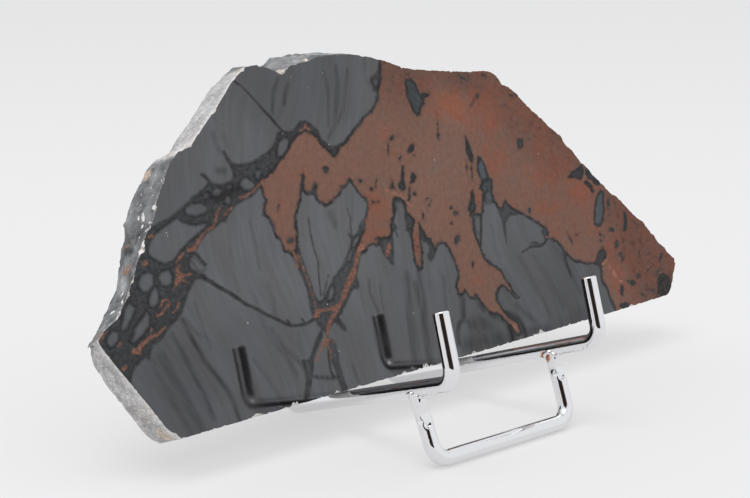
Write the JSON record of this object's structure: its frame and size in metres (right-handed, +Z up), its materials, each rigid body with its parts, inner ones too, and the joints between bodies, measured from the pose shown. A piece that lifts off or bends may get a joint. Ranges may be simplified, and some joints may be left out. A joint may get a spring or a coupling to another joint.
{
  "type": "mahogany obsidian slab on stand",
  "caption": "Sawn and polished slab of mahogany obsidian with a partly broken rim, leaning on a display stand bent from chrome-plated round rod.",
  "frame": {"origin": "middle of the footprint, on the table", "axes": "+X along the slab, +Y from the front posts to the back rest, +Z up"},
  "size_m": [0.199, 0.0766, 0.0934],
  "materials": {
    "obsidian": "polished",
    "rod": "polished"
  },
  "bodies": {
    "root": {"slab": "obsidian", "cradle": "rod", "front_foot": "rod"}
  },
  "joints": []
}
